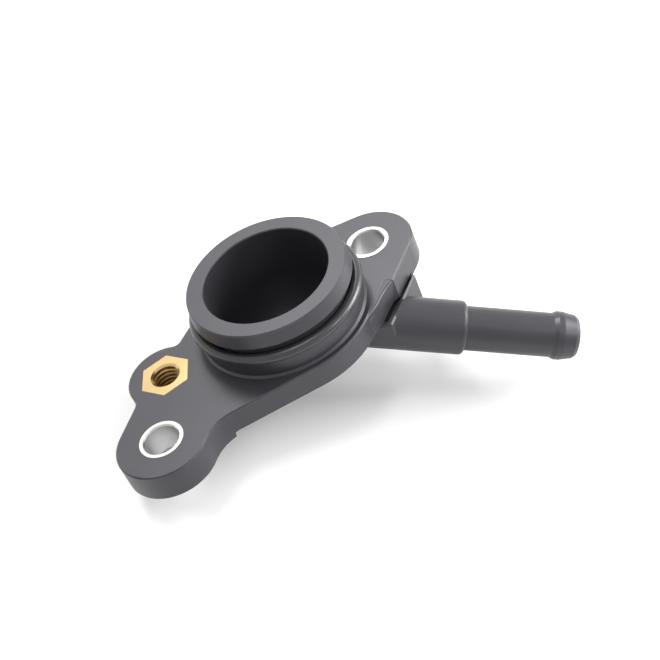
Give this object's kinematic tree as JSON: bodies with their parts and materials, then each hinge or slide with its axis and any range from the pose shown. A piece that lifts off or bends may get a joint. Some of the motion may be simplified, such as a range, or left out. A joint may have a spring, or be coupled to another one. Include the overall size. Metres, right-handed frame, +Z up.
{
  "type": "coolant flange",
  "caption": "Moulded plastic engine coolant flange: O-ring spigot on a two-bolt plate, slanted hose nozzle below, metal sleeves and a threaded insert.",
  "frame": {"origin": "centre of the spigot, where its axis crosses the plate's top (sealing) face", "axes": "+Z up the spigot, +X from the left bolt towards the right bolt"},
  "size_m": [0.0867, 0.0605, 0.0395],
  "materials": {
    "moulded_plastic": "satin glass-filled plastic, dark grey",
    "steel": "bright turned steel",
    "brass": "satin brass",
    "rubber": "smooth black rubber"
  },
  "bodies": {
    "root": {"flange_body": "moulded_plastic", "sleeve_left": "steel", "sleeve_right": "steel", "thread_insert": "brass", "seal_ring": "rubber"}
  },
  "joints": []
}
